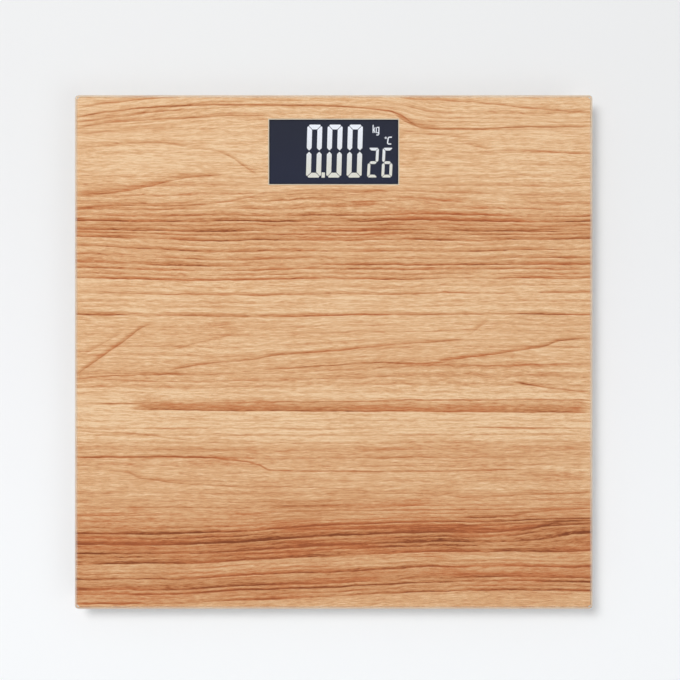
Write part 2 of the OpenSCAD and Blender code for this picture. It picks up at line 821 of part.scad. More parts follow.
module unit_button() {
    cap_z = tray_z + button_recess;
    color("gray") translate([button_x, button_y, 0]) {
        difference() {
            translate([0, 0, cap_z]) cylinder(h = button_flange_z - cap_z + sink, r = button_r);
            translate([0, 0, cap_z + dish_depth - dish_r]) sphere(dish_r);
        }
        translate([0, 0, button_flange_z]) cylinder(h = button_flange_t, r = button_flange_r);
        translate([0, 0, button_flange_z]) cylinder(h = plunger_z - button_flange_z, r = button_stem_r);
    }
}

module switch_plunger() {
    color("dimgray") translate([button_x, button_y, plunger_z])
        cylinder(h = plunger_top_z - button_travel - plunger_z, r = plunger_r);
}

module tact_switch() {
    z0 = board_z - switch_size[2];
    color("silver") difference() {
        translate([button_x, button_y, 0]) block(switch_size[0], switch_size[1], z0, board_z);
        translate([button_x, button_y, z0 - eps])
            cylinder(h = plunger_top_z - z0 + 0.2, r = plunger_r + plunger_gap);
    }
}

// ---- Board and display ----

module main_board() {
    color("darkgreen") difference() {
        translate([0, (board_y0 + board_y1) / 2, board_z]) linear_extrude(board_t)
            rounded_square(board_w, board_y1 - board_y0, board_corner_r);
        for (x = [-1, 1] * board_screw_x, y = [-1, 1] * board_screw_dy)
            translate([x, window_y + y, board_z - 1]) cylinder(h = board_t + 2, r = screw_hole_r);
    }
}

module board_screws() {
    color("silver") for (x = [-1, 1] * board_screw_x, y = [-1, 1] * board_screw_dy)
        translate([x, window_y + y, board_top_z + lug_t]) pan_screw();
}

module controller_chip() {
    blob_r = 6;
    blob_h = 1.8;
    ball_r = (blob_r * blob_r + blob_h * blob_h) / (2 * blob_h);
    color("black") translate([board_w / 4, parts_y, board_top_z]) intersection() {
        translate([0, 0, blob_h - ball_r]) sphere(ball_r);
        cylinder(h = blob_h + 1, r = blob_r + 1);
    }
}

module capacitors() {
    r = 2.5;
    h = 5;
    color("midnightblue") for (x = [-8, 0])
        translate([x, parts_y, board_top_z]) cylinder(h = h, r = r);
}

module crystal() {
    r = 1;
    l = 6;
    color("silver") translate([9, parts_y - l / 2, board_top_z + r])
        rotate([-90, 0, 0]) cylinder(h = l, r = r);
}

module thermistor() {
    r = 0.8;
    l = 4;
    color("sienna") translate([-board_w / 2 + 6, board_y0 + 3, board_top_z + r])
        rotate([-90, 0, 0]) cylinder(h = l, r = r);
}

module display_sheet(w, d, y, z, t) {
    translate([0, window_y + y, 0]) block(w, d, z, z + t);
}

module lcd_glass() {
    color("slategray") difference() {
        display_sheet(lcd_w, lcd_d, 0, lcd_glass_z, lcd_t);
        translate([0, window_y - lcd_d / 2, 0])
            block(lcd_w + 2, 2 * lcd_ledge, lcd_glass_z + lcd_t / 2, lcd_glass_z + lcd_t + 1);
    }
}

module front_polarizer() {
    inset = 0.4;
    w = lcd_w - 2 * inset;
    d = lcd_d - lcd_ledge - 2 * inset;
    color("midnightblue") display_sheet(w, d, lcd_ledge / 2, lcd_top_z - polarizer_t, polarizer_t);
}

module rear_polarizer() {
    color("gray") display_sheet(guide_w, guide_d, guide_y, rear_polarizer_z, polarizer_t);
}

module backlight_diffuser() {
    color("white") display_sheet(guide_w, guide_d, guide_y, diffuser_z, backlight_film_t);
}

module light_guide() {
    color("aliceblue") display_sheet(guide_w, guide_d, guide_y, guide_z, guide_t);
}

module backlight_reflector() {
    color("white") display_sheet(guide_w, guide_d, guide_y, board_top_z, backlight_film_t);
}

module backlight_leds() {
    color("lightyellow") for (y = [-1, 0, 1] * guide_d / 3)
        translate([-guide_w / 2 - led_gap - led_size[0] / 2, window_y + guide_y + y, 0])
            block(led_size[0], led_size[1], board_top_z, board_top_z + led_size[2]);
}

module zebra_strip() {
    color("pink") translate([0, window_y - lcd_d / 2 + zebra_inset + zebra_w / 2, 0])
        block(zebra_l, zebra_w, board_top_z, lcd_glass_z);
}

// The frame that keeps the glass, the light guide and the zebra strip in place on the board
module lcd_holder() {
    led_room = led_size[0] + 2 * led_gap;
    pocket_w = guide_w + led_room + holder_gap;
    color("whitesmoke") translate([0, window_y, 0]) difference() {
        union() {
            block(holder_w, holder_d, board_top_z, holder_top_z);
            for (x = [-1, 1] * board_screw_x, y = [-1, 1] * board_screw_dy) {
                translate([x, y, board_top_z]) cylinder(h = lug_t, r = lug_r);
                translate([x - sign(x) * lug_r / 2, y, 0])
                    block(lug_r + 2 * sink, 2 * lug_r, board_top_z, board_top_z + lug_t);
            }
        }
        block(lcd_w + 2 * holder_gap, lcd_d + 2 * holder_gap, lcd_glass_z, rim_z + 1);
        translate([-led_room / 2, guide_y, 0])
            block(pocket_w, guide_d + 2 * holder_gap, board_top_z - 1, lcd_glass_z + 1);
        translate([0, -lcd_d / 2 + zebra_inset + zebra_w / 2, 0])
            block(zebra_l + 2 * holder_gap, zebra_w + holder_gap, board_top_z - 1, lcd_glass_z + 1);
        for (x = [-1, 1] * board_screw_x, y = [-1, 1] * board_screw_dy)
            translate([x, y, board_top_z - 1]) cylinder(h = lug_t + 2, r = screw_hole_r);
    }
}

module lcd_gasket() {
    edge = 0.5;
    margin = 0.2;
    color("black") translate([0, window_y, lcd_top_z]) linear_extrude(gasket_t) difference() {
        translate([0, lcd_ledge / 2])
            square([lcd_w - 2 * edge, lcd_d - lcd_ledge - 2 * edge], center = true);
        square([window_w + 2 * margin, window_d + 2 * margin], center = true);
    }
}

// ---- Nodes ----

glass_platform();
woodgrain_film();
bonding_tape();
support_pads();
base_tray();
rating_label();
battery_door();
door_latch();
battery_at(-1);  // battery_front
battery_at(1);  // battery_rear
battery_springs();
contact_plate(-1);  // contact_negative
contact_plate(1);  // contact_positive
contact_bridge();
unit_button();
switch_plunger();
tact_switch();
main_board();
controller_chip();
capacitors();
crystal();
thermistor();
board_screws();
lcd_glass();
front_polarizer();
rear_polarizer();
lcd_holder();
lcd_gasket();
zebra_strip();
light_guide();
backlight_diffuser();
backlight_reflector();
backlight_leds();
retainer_screws();
battery_leads();
for (c = CORNERS) {
    at_foot(c) load_cell();
    at_foot(c) gauge_cover();
    at_foot(c) cell_retainer();
    at_foot(c) foot();
    at_foot(c) foot_pad();
    sensor_lead(c);
}
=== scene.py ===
"""Looks of the digital bathroom scale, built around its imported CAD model.

Lengths in the tables and materials below are millimetres in the row frame: the floor is z = 0,
+X is to the right and the display is near +Y. Meshes and lights are made in metres.
"""

import json
import math

import bmesh
import bpy
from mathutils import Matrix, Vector


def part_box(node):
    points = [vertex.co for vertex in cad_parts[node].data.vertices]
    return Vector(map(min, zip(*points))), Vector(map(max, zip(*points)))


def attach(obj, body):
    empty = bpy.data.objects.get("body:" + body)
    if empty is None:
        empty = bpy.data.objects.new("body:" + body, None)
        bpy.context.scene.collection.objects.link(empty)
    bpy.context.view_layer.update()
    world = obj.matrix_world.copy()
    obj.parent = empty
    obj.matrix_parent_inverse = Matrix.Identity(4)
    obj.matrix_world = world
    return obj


MM = 0.001

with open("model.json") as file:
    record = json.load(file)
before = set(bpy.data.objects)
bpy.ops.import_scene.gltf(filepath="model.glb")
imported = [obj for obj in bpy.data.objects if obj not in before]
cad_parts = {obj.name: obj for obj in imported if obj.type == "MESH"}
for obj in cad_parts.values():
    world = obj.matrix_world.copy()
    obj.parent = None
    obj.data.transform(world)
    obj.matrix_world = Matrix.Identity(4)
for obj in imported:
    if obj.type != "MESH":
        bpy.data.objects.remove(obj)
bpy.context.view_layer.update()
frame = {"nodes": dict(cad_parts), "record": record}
nodes = frame["nodes"]
scene = bpy.context.scene

# ---- Sizes read from the frame, in millimetres ----


def middle_of(node):
    low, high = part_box(node)
    return (low + high) / 2 / MM


def window_box():
    """Half sizes of the display's window and its centre's y, from the film's inner corners."""
    film_half_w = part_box("woodgrain_film")[1].x / MM
    film_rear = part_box("woodgrain_film")[1].y / MM
    points = [v.co / MM for v in nodes["woodgrain_film"].data.vertices]
    near = [p for p in points if abs(p.x) < film_half_w / 2 and film_rear / 2 < p.y]
    inner = [p for p in near if p.y < film_rear - 1]
    half_w = max(abs(p.x) for p in inner)
    low = min(p.y for p in inner)
    high = max(p.y for p in inner)
    return half_w, (high - low) / 2, (low + high) / 2


GLASS_HALF_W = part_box("glass_platform")[1].x / MM
GLASS_HALF_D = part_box("glass_platform")[1].y / MM
GLASS_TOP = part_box("glass_platform")[1].z / MM
WINDOW_HALF_W, WINDOW_HALF_D, WINDOW_Y = window_box()
BAY_Y = (middle_of("battery_front").y + middle_of("battery_rear").y) / 2
LABEL_Y = middle_of("rating_label").y

# ---- Colours ----


def srgb(red, green, blue):
    """A colour given in 0-255 display values, as the linear colour that shaders take."""
    linear = []
    for channel in (red, green, blue):
        c = channel / 255
        linear.append(c / 12.92 if c <= 0.04045 else ((c + 0.055) / 1.055) ** 2.4)
    return (*linear, 1.0)


def grey(level):
    """A neutral display value as a linear colour."""
    return srgb(level, level, level)


# ---- Node graphs ----


class Term:
    """A number at each point of a surface. Arithmetic on terms adds Math nodes to their graph."""

    def __init__(self, graph, socket):
        self.graph = graph
        self.socket = socket

    def __add__(self, other):
        return self.graph.math("ADD", self, other)

    def __radd__(self, other):
        return self.graph.math("ADD", other, self)

    def __sub__(self, other):
        return self.graph.math("SUBTRACT", self, other)

    def __rsub__(self, other):
        return self.graph.math("SUBTRACT", other, self)

    def __mul__(self, other):
        return self.graph.math("MULTIPLY", self, other)

    def __truediv__(self, other):
        return self.graph.math("DIVIDE", self, other)

    def __neg__(self):
        return self.graph.math("MULTIPLY", self, -1.0)

    def __abs__(self):
        return self.graph.math("ABSOLUTE", self)

    def clamp(self):
        term = self.graph.math("ADD", self, 0.0)
        term.socket.node.use_clamp = True
        return term


class Graph:
    """A material's node tree, with short calls for the nodes that this scene uses."""

    def __init__(self, name):
        self.material = bpy.data.materials.new(name)
        self.material.use_nodes = True
        self.tree = self.material.node_tree
        self.tree.nodes.clear()
        self.out = self.add("ShaderNodeOutputMaterial")
        self.object_position = self.add("ShaderNodeTexCoord").outputs["Object"]

    def add(self, kind):
        return self.tree.nodes.new(kind)

    def put(self, value, socket):
        """Links a term or an output to a socket, or sets the socket to a plain value."""
        if isinstance(value, Term):
            self.tree.links.new(value.socket, socket)
        elif isinstance(value, bpy.types.NodeSocket):
            self.tree.links.new(value, socket)
        else:
            socket.default_value = value

    def math(self, operation, *values):
        node = self.add("ShaderNodeMath")
        node.operation = operation
        for value, socket in zip(values, node.inputs):
            self.put(value, socket)
        return Term(self, node.outputs[0])

    def position(self):
        """x, y and z in millimetres, as three terms."""
        node = self.add("ShaderNodeSeparateXYZ")
        self.tree.links.new(self.object_position, node.inputs[0])
        return [Term(self, output) * (1 / MM) for output in node.outputs]

    def point(self, x, y, z):
        node = self.add("ShaderNodeCombineXYZ")
        for value, socket in zip((x, y, z), node.inputs):
            self.put(value, socket)
        return node.outputs[0]

    def noise(self, x, y, z, detail=2.0, roughness=0.5):
        """Smooth noise, 0 to 1 about 0.5, with features about 1 unit of x, y, z wide."""
        node = self.add("ShaderNodeTexNoise")
        self.put(self.point(x, y, z), node.inputs["Vector"])
        node.inputs["Scale"].default_value = 1.0
        node.inputs["Detail"].default_value = detail
        node.inputs["Roughness"].default_value = roughness
        return Term(self, node.outputs["Fac"])

    def cells(self, x, y, z):
        """Distance to the nearest of many scattered points, about 1 unit apart."""
        node = self.add("ShaderNodeTexVoronoi")
        self.put(self.point(x, y, z), node.inputs["Vector"])
        node.inputs["Scale"].default_value = 1.0
        return Term(self, node.outputs["Distance"])

    def ramp(self, value, low, high):
        """0 where value is at or below low, 1 at or above high, and smooth between them."""
        node = self.add("ShaderNodeMapRange")
        node.interpolation_type = "SMOOTHSTEP"
        self.put(value, node.inputs["Value"])
        falling = low > high
        node.inputs["From Min"].default_value = min(low, high)
        node.inputs["From Max"].default_value = max(low, high)
        node.inputs["To Min"].default_value = 1.0 if falling else 0.0
        node.inputs["To Max"].default_value = 0.0 if falling else 1.0
        return Term(self, node.outputs["Result"])

    def bell(self, value, centre, width):
        """1 where value is at the centre, falling to 0 a few widths away on both sides."""
        offset = (value - centre) / width
        return self.math("EXPONENT", -(offset * offset))

    def curve(self, value, points, smooth=True):
        """The height over value of a line through points, which are (value, height) pairs."""
        low, high = points[0][0], points[-1][0]
        node = self.add("ShaderNodeFloatCurve")
        self.put((value - low) / (high - low), node.inputs["Value"])
        line = node.mapping.curves[0]
        node.mapping.extend = "HORIZONTAL"
        places = [((at - low) / (high - low), height) for at, height in points]
        line.points[0].location = places[0]
        line.points[1].location = places[-1]
        for place in places[1:-1]:
            line.points.new(*place)
        for point in line.points:
            point.handle_type = "AUTO" if smooth else "VECTOR"
        node.mapping.update()
        return Term(self, node.outputs[0])

    def colours(self, value, stops):
        """The colour over value of a ramp through stops, which are (value, colour) pairs, 0 to 1."""
        node = self.add("ShaderNodeValToRGB")
        self.put(value, node.inputs["Fac"])
        elements = node.color_ramp.elements
        elements[0].position, elements[0].color = stops[0]
        elements[1].position, elements[1].color = stops[-1]
        for place, colour in stops[1:-1]:
            elements.new(place).color = colour
        return node.outputs["Color"]

    def mix(self, share, first, second):
        """The first colour where share is 0, the second where it is 1."""
        node = self.add("ShaderNodeMix")
        node.data_type = "RGBA"
        self.put(share, node.inputs[0])
        self.put(first, node.inputs[6])
        self.put(second, node.inputs[7])
        return node.outputs[2]

    def bump(self, height, depth, strength):
        """A normal for a surface whose relief is height, 0 to 1, times depth in millimetres."""
        node = self.add("ShaderNodeBump")
        node.inputs["Distance"].default_value = depth * MM
        node.inputs["Strength"].default_value = strength
        self.put(height, node.inputs["Height"])
        return node.outputs[0]

    def principled(self, **values):
        """The main shader. Keywords are its sockets' names with _ for spaces."""
        node = self.add("ShaderNodeBsdfPrincipled")
        for name, value in values.items():
            self.put(value, node.inputs[name.replace("_", " ")])
        return node.outputs[0]

    def finish(self, shader):
        self.tree.links.new(shader, self.out.inputs["Surface"])
        return self.material


# ---- The printed wood grain ----

# Growth lines, in millimetres from the front edge at the film's left end: where the ring ends
# in a sharp line, how dark it is there from 0 to 1, and how far it fades out behind the line.
GROWTH_LINES = [
    (2.4, 0.75, 1.5),
    (4.8, 0.30, 1.2),
    (7.4, 0.85, 1.2),
    (9.8, 0.75, 3.8),
    (15.8, 0.75, 2.0),
    (18.6, 0.30, 1.4),
    (21.2, 0.20, 1.2),
    (24.2, 0.90, 2.8),
    (27.4, 0.45, 1.4),
    (29.6, 0.80, 2.6),
    (32.2, 0.45, 1.6),
    (34.6, 1.00, 3.2),
    (38.0, 0.45, 1.8),
    (40.6, 0.80, 2.0),
    (43.6, 0.40, 3.0),
    (47.2, 0.30, 2.4),
    (50.3, 0.45, 2.2),
    (54.2, 0.30, 2.0),
    (57.8, 0.25, 2.0),
    (62.4, 0.25, 2.4),
    (69.0, 0.20, 2.4),
    (77.2, 0.25, 2.0),
    (81.5, 0.30, 2.0),
    (85.6, 0.30, 2.6),
    (89.4, 0.25, 1.6),
    (93.8, 0.30, 1.4),
    (97.4, 0.35, 1.0),
    (101.6, 0.20, 1.2),
    (104.6, 0.15, 1.0),
    (116.2, 0.22, 1.4),
    (119.4, 0.28, 2.0),
    (122.6, 0.30, 2.0),
    (126.4, 0.30, 1.8),
    (136.4, 0.30, 2.0),
    (141.4, 0.22, 2.4),
    (148.2, 0.22, 2.4),
    (152.6, 0.22, 2.0),
    (158.9, 1.00, 2.2),
    (163.6, 0.25, 1.6),
    (166.0, 0.30, 1.4),
    (170.4, 0.65, 1.8),
    (174.2, 0.25, 1.6),
    (178.4, 0.85, 1.8),
    (180.8, 0.45, 1.6),
    (183.4, 0.70, 1.6),
    (185.8, 0.85, 2.6),
    (189.2, 0.70, 2.2),
    (193.4, 0.80, 2.2),
    (196.6, 0.30, 1.8),
    (199.4, 0.95, 2.4),
    (202.4, 0.55, 1.6),
    (204.6, 0.90, 2.6),
    (207.6, 0.50, 1.8),
    (210.0, 1.00, 2.4),
    (213.0, 0.80, 2.0),
    (216.4, 0.45, 2.0),
    (219.4, 0.35, 2.2),
    (223.4, 0.35, 2.4),
    (228.6, 0.35, 3.0),
    (233.4, 0.25, 2.4),
    (240.4, 0.15, 2.4),
    (247.0, 0.20, 2.4),
    (252.2, 0.22, 2.0),
    (257.4, 0.20, 1.6),
    (261.0, 0.25, 1.6),
    (264.8, 0.30, 1.6),
    (268.0, 0.30, 1.4),
    (271.4, 0.30, 1.4),
    (274.6, 0.35, 1.6),
]

# How deep the wood's colour is between the lines, over the height from the front edge.
DEPTH = [
    (0, 0.30),
    (5, 0.42),
    (12, 0.48),
    (17, 0.40),
    (21, 0.32),
    (25, 0.50),
    (34, 0.54),
    (42, 0.46),
    (48, 0.34),
    (58, 0.32),
    (66, 0.25),
    (75, 0.24),
    (84, 0.30),
    (90, 0.18),
    (96, 0.12),
    (105, 0.10),
    (115, 0.12),
    (121, 0.20),
    (130, 0.26),
    (137, 0.20),
    (146, 0.20),
    (156, 0.20),
    (161, 0.14),
    (170, 0.16),
    (178, 0.20),
    (188, 0.24),
    (196, 0.22),
    (203, 0.32),
    (212, 0.30),
    (218, 0.22),
    (226, 0.18),
    (236, 0.14),
    (244, 0.12),
    (254, 0.12),
    (262, 0.12),
    (278, 0.14),
]

# Single figures drawn over the lines: (x, height) points along the sharp edge of each, how
# dark it is, and how far it fades out above that edge. Heights are from the front edge.
FIGURES = [
    # the fan at the rear left, and the line that drops behind the display's right end
    ([(-139, 270.8), (-124, 273.6), (-106, 275.7), (-82, 277.2)], 0.55, 2.0),
    (
        [
            (-139, 266),
            (-120, 269.4),
            (-96, 271.7),
            (-54, 272.7),
            (3, 271.9),
            (26, 269.9),
            (35, 267.6),
            (43, 262.5),
            (50, 260),
            (64, 259.5),
            (100, 260.6),
            (139, 261),
        ],
        0.70,
        1.4,
    ),
    ([(-139, 263.3), (-115, 267), (-96, 269.2), (-74, 270.6)], 0.45, 1.4),
    ([(-139, 259.8), (-115, 263.8), (-76, 266), (-35, 267)], 0.50, 2.2),
    ([(-139, 256.2), (-112, 259.4), (-84, 260.8)], 0.25, 1.6),
    ([(33, 268), (40, 263.2), (48, 260.4), (58, 259.6)], 0.60, 5.0),
    ([(37, 276.6), (58, 275), (82, 273.6), (110, 270.8), (139, 268.9)], 0.50, 2.0),
    ([(35, 258.7), (63, 255.9), (75, 254.3)], 0.25, 2.0),
    ([(74, 251.5), (78, 250.4), (86, 249.2)], 0.45, 4.2),
    ([(88, 248.4), (105, 248), (122, 247), (139, 246.5)], 0.45, 1.6),
    # the rounded nose left of the display, and the edges above and below it
    ([(-139, 249.3), (-120, 251), (-98, 252.6), (-78, 249.8), (-62, 247.6)], 0.30, 2.6),
    ([(-64, 248.2), (-55, 244.2), (-49, 239.8), (-42, 235.5)], 0.42, 2.6),
    ([(-139, 224), (-120, 225), (-106, 227.4), (-92, 230.6), (-78, 233.4), (-60, 235)], 0.50, 4.5),
    # the lines that arch up under the display
    ([(-139, 216.4), (-111, 218.3), (-84, 218.2), (-60, 220), (-45, 222.8), (0, 225), (30, 226)], 0.45, 2.0),
    ([(-35, 221), (0, 221.5), (12, 220.4), (45, 221), (72, 219.4)], 0.35, 1.4),
    # the diagonal flame at the left, below the strong line
    ([(-139, 127), (-134, 130.6), (-119, 141), (-110, 147.5), (-106, 151), (-99, 154.5)], 0.55, 3.4),
    ([(-139, 136), (-128, 142), (-114, 150)], 0.22, 3.0),
    ([(-90, 139), (-76, 143), (-62, 146.8), (-54, 149)], 0.30, 2.4),
    ([(-70, 152), (-62, 153.4), (-54, 154.4)], 0.30, 3.0),
    ([(-90, 128.6), (-64, 133), (-48, 134.4), (-31, 137.2), (3, 140), (40, 143.3), (70, 145.4)], 0.50, 2.4),
    ([(-139, 124.5), (-111, 126), (-80, 127)], 0.45, 1.4),
    ([(-36, 129.4), (-2, 131.6), (21, 133), (44, 132.5), (63, 134.4)], 0.50, 1.4),
    # the line that climbs to the right, and the knot above it
    ([(56, 133.8), (82, 137.2), (100, 139.5), (114, 141.8), (122, 144.7), (139, 146.6)], 0.62, 2.6),
    ([(74, 148.5), (78, 151.5), (83, 155.5)], 0.45, 3.2),
    ([(96, 157.8), (104, 156.6), (112, 155.7)], 0.40, 1.2),
    ([(66, 131.1), (100, 131.6), (139, 132.8)], 0.25, 1.2),
    ([(95, 122.7), (110, 120.3), (128, 118), (139, 117.5)], 0.55, 1.8),
    # the brown band between two lines across the middle
    ([(-108, 107.9), (-80, 107.5), (0, 107), (60, 106.5), (139, 106.2)], 0.75, 1.2),
    ([(-108, 107.9), (-80, 107.5), (0, 107), (60, 106.5), (139, 106.2)], 0.86, 9.0),
    ([(-130, 110.8), (-94, 111.2), (0, 111.9), (60, 112.6), (139, 112.8)], 0.62, 1.0),
    # lines and noses in the pale lower part
    ([(-139, 96.1), (-111, 94.7), (-93, 92.8), (-78, 91.2)], 0.40, 1.4),
    ([(72, 97.5), (100, 97.6), (120, 97.3)], 0.35, 0.8),
    ([(-139, 81), (-92, 82), (-54, 80), (-40, 77.4), (-31, 74.6), (0, 74.2), (100, 75)], 0.50, 1.4),
    ([(-120, 74.6), (-111, 73.4), (-104, 70.6), (-63, 66.4), (-38, 65.8), (0, 65.8)], 0.32, 2.0),
    ([(98, 72), (108, 72.2), (122, 71.6), (139, 70)], 0.30, 4.2),
    ([(42, 61), (60, 61.4), (74, 60), (100, 61.3), (139, 62.4)], 0.35, 1.8),
    ([(-38, 54), (0, 54.2), (30, 55), (52, 57)], 0.34, 5.0),
    # the dark edges above the front band, and its red patches
    ([(70, 48.6), (96, 50.2), (112, 52.4), (139, 54.4)], 0.38, 2.6),
    ([(-40, 43), (0, 42.6), (40, 43.4), (70, 43.2), (92, 42.2)], 0.40, 2.6),
    ([(92, 41.8), (106, 43), (124, 47), (139, 48)], 0.35, 2.6),
    ([(-24, 34.4), (10, 33.6), (50, 33.4)], 0.25, 2.6),
]

# The wood's colour over its depth, which is 0 where it is palest and 1 where it is darkest.
WOOD = [
    (0.00, srgb(254, 214, 174)),
    (0.22, srgb(237, 186, 141)),
    (0.45, srgb(221, 160, 113)),
    (0.68, srgb(203, 132, 84)),
    (0.86, srgb(178, 101, 58)),
    (1.00, srgb(138, 70, 36)),
]

# The growth lines are drawn from one curve for each RING_SPAN of height or a little more. Each
# rises from 0 over LINE_RISE, and LINE_STEP above its edge has faded to LINE_SHADE of its darkness.
RING_SPAN = 40
LINE_RISE = 0.35
LINE_STEP = 0.6
LINE_SHADE = 0.6
CLOSEST_POINTS = 0.1

# A single figure is a line about this wide on its sharp edge, with a paler shade above it that
# has this share of its darkness. Both fade out over FIGURE_END at the figure's ends.
FIGURE_LINE = 1.0
FIGURE_SHADE = 0.75
FIGURE_END = 8

# The pale line round the display's window.
PALE_LINE_WIDTH = 0.7


def ring_points(low, high):
    """Darkness of the growth lines between two heights, as (height, darkness) points."""
    points = {low: 0.0, high: 0.0}
    for place, darkness, fade in GROWTH_LINES:
        if low + 1 < place < high - fade - 1:
            points[place - LINE_RISE] = 0.0
            points[place] = darkness
            points[place + LINE_STEP] = darkness * LINE_SHADE
            points[place + fade] = 0.0
    ordered = sorted(points.items())
    kept = [ordered[0]]
    for place, darkness in ordered[1:]:
        if place - kept[-1][0] > CLOSEST_POINTS:
            kept.append((place, darkness))
    return kept


def ring_darkness(graph, ring):
    """The growth lines' darkness over the ring coordinate, from one curve for each span."""
    edges = [0]
    for place, _, _ in GROWTH_LINES:
        if place - edges[-1] > RING_SPAN:
            edges.append(place - 1)
    edges.append(GROWTH_LINES[-1][0] + 8)
    total = None
    for low, high in zip(edges, edges[1:]):
        part = graph.curve(ring, ring_points(low - 2, high + 3), smooth=False)
        inside = graph.math("GREATER_THAN", ring, low) * graph.math("LESS_THAN", ring, high)
        total = part * inside if total is None else total + part * inside
    return total


def figure_darkness(graph, x, height):
    """The single figures' darkness. Each has a sharp lower edge and fades out above it."""
    total = None
    for points, darkness, fade in FIGURES:
        left = points[0][0]
        right = points[-1][0]
        low = min(p[1] for p in points)
        span = max(max(p[1] for p in points) - low, 1)
        shape = [(px, (ph - low) / span) for px, ph in points]
        edge = graph.curve(x, shape) * span + low
        above = height - edge
        line = graph.ramp(above, -0.5, 0.2) * graph.ramp(above, FIGURE_LINE, 0.2)
        shade = graph.ramp(above, -0.4, 0.4) * graph.ramp(above, fade, 0.0)
        ends = graph.ramp(x, left - FIGURE_END / 2, left + FIGURE_END)
        ends = ends * graph.ramp(x, right + FIGURE_END / 2, right - FIGURE_END)
        part = graph.math("MAXIMUM", line, shade * FIGURE_SHADE) * ends * darkness
        total = part if total is None else graph.math("MAXIMUM", total, part)
    return total


def board_shift(g, x, height):
    """How far the lines stand above their height at the left end, from the board's figure."""
    shift = g.ramp(height, 62, 44) * g.ramp(x, -110, 80) * 7
    shift = shift + g.bell(height, 43, 7) * g.ramp(x, 70, 139) * 5
    shift = shift + g.bell(height, 196, 9) * (g.ramp(x, -70, -139) * 2.6 + g.ramp(x, 60, 139) * 1.5)
    shift = shift + g.bell(height, 224, 7) * g.bell(x, 10, 75) * 4
    shift = shift + g.bell(height, 136, 14) * g.ramp(x, -90, 100) * 6
    shift = shift - g.ramp(height, 252, 266) * g.ramp(x, -60, -139) * 8
    return shift - g.ramp(height, 256, 268) * g.ramp(x, 20, 60) * 6


def wood_depth(g, x, height):
    """How deep the wood's colour is, where its pores are, and the ring coordinate.

    The ring coordinate is the height that a point's growth line has at the film's left end.
    """
    wide = g.noise(x * 0.009, height * 0.02, 3.1, detail=1.0) - 0.5
    middle = g.noise(x * 0.035, height * 0.05, 7.7, detail=2.0) - 0.5
    fine = g.noise(x * 0.11, height * 0.16, 1.9, detail=2.0) - 0.5
    waver = wide * 3.5 + middle * 2.2 + fine * 0.5
    ring = height - board_shift(g, x, height) + waver
    # the placed lines and figures
    presence = g.noise(x * 0.022, ring * 0.22, 5.3, detail=2.0)
    lines = ring_darkness(g, ring) * (g.ramp(presence, 0.32, 0.55) * 0.65 + 0.35)
    figures = figure_darkness(g, x, height + middle * 1.6 + fine * 0.7)
    # slow changes of tone, fibres and short dark pores along the grain
    tone = g.curve(ring, DEPTH)
    cloud = g.noise(x * 0.02, ring * 0.06, 11.3, detail=3.0) - 0.5
    streak = g.noise(x * 0.04, ring * 0.9, 2.2, detail=5.0, roughness=0.65) - 0.5
    fibre = g.noise(x * 0.22, ring * 2.5, 4.4, detail=3.0, roughness=0.65) - 0.5
    pores = g.ramp(g.noise(x * 0.2, ring * 1.5, 8.8, detail=2.0), 0.58, 0.74)
    depth = tone + lines * 0.78 + figures * 0.85
    depth = depth + cloud * 0.24 + streak * 0.75 + fibre * 1.15
    depth = depth + pores * (0.16 + lines * 0.25)
    return depth, pores, ring


def window_pale_line(g, x, y):
    """1 on the pale line round the display's window, and 0 on the wood."""
    past_x = abs(x) - WINDOW_HALF_W
    past_y = abs(y - WINDOW_Y) - WINDOW_HALF_D
    return g.ramp(g.math("MAXIMUM", past_x, past_y), PALE_LINE_WIDTH, PALE_LINE_WIDTH / 2)


def wood_grain():
    """The printed film: growth lines that follow the board's figure, fibres, pores and tint."""
    g = Graph("wood_print")
    x, y, _ = g.position()
    depth, pores, ring = wood_depth(g, x, y + GLASS_HALF_D)
    colour = g.colours(depth.clamp(), WOOD)
    warm = g.ramp(g.noise(x * 0.015, ring * 0.12, 6.6, detail=2.0), 0.42, 0.62)
    reddish = warm * g.ramp(depth, 0.3, 0.75) * 0.35
    colour = g.mix(reddish, colour, srgb(214, 118, 70))
    colour = g.mix(window_pale_line(g, x, y), colour, srgb(222, 205, 186))
    shader = g.principled(
        Base_Color=colour,
        Roughness=0.5 + pores * 0.15,
        Specular_IOR_Level=0.2,
    )
    return g.finish(shader)


# ---- Other materials ----

# How far the ground edge reaches in from the glass's sides, and the height of rubber's grains.
GROUND_EDGE = 0.8
RUBBER_RELIEF = 0.05


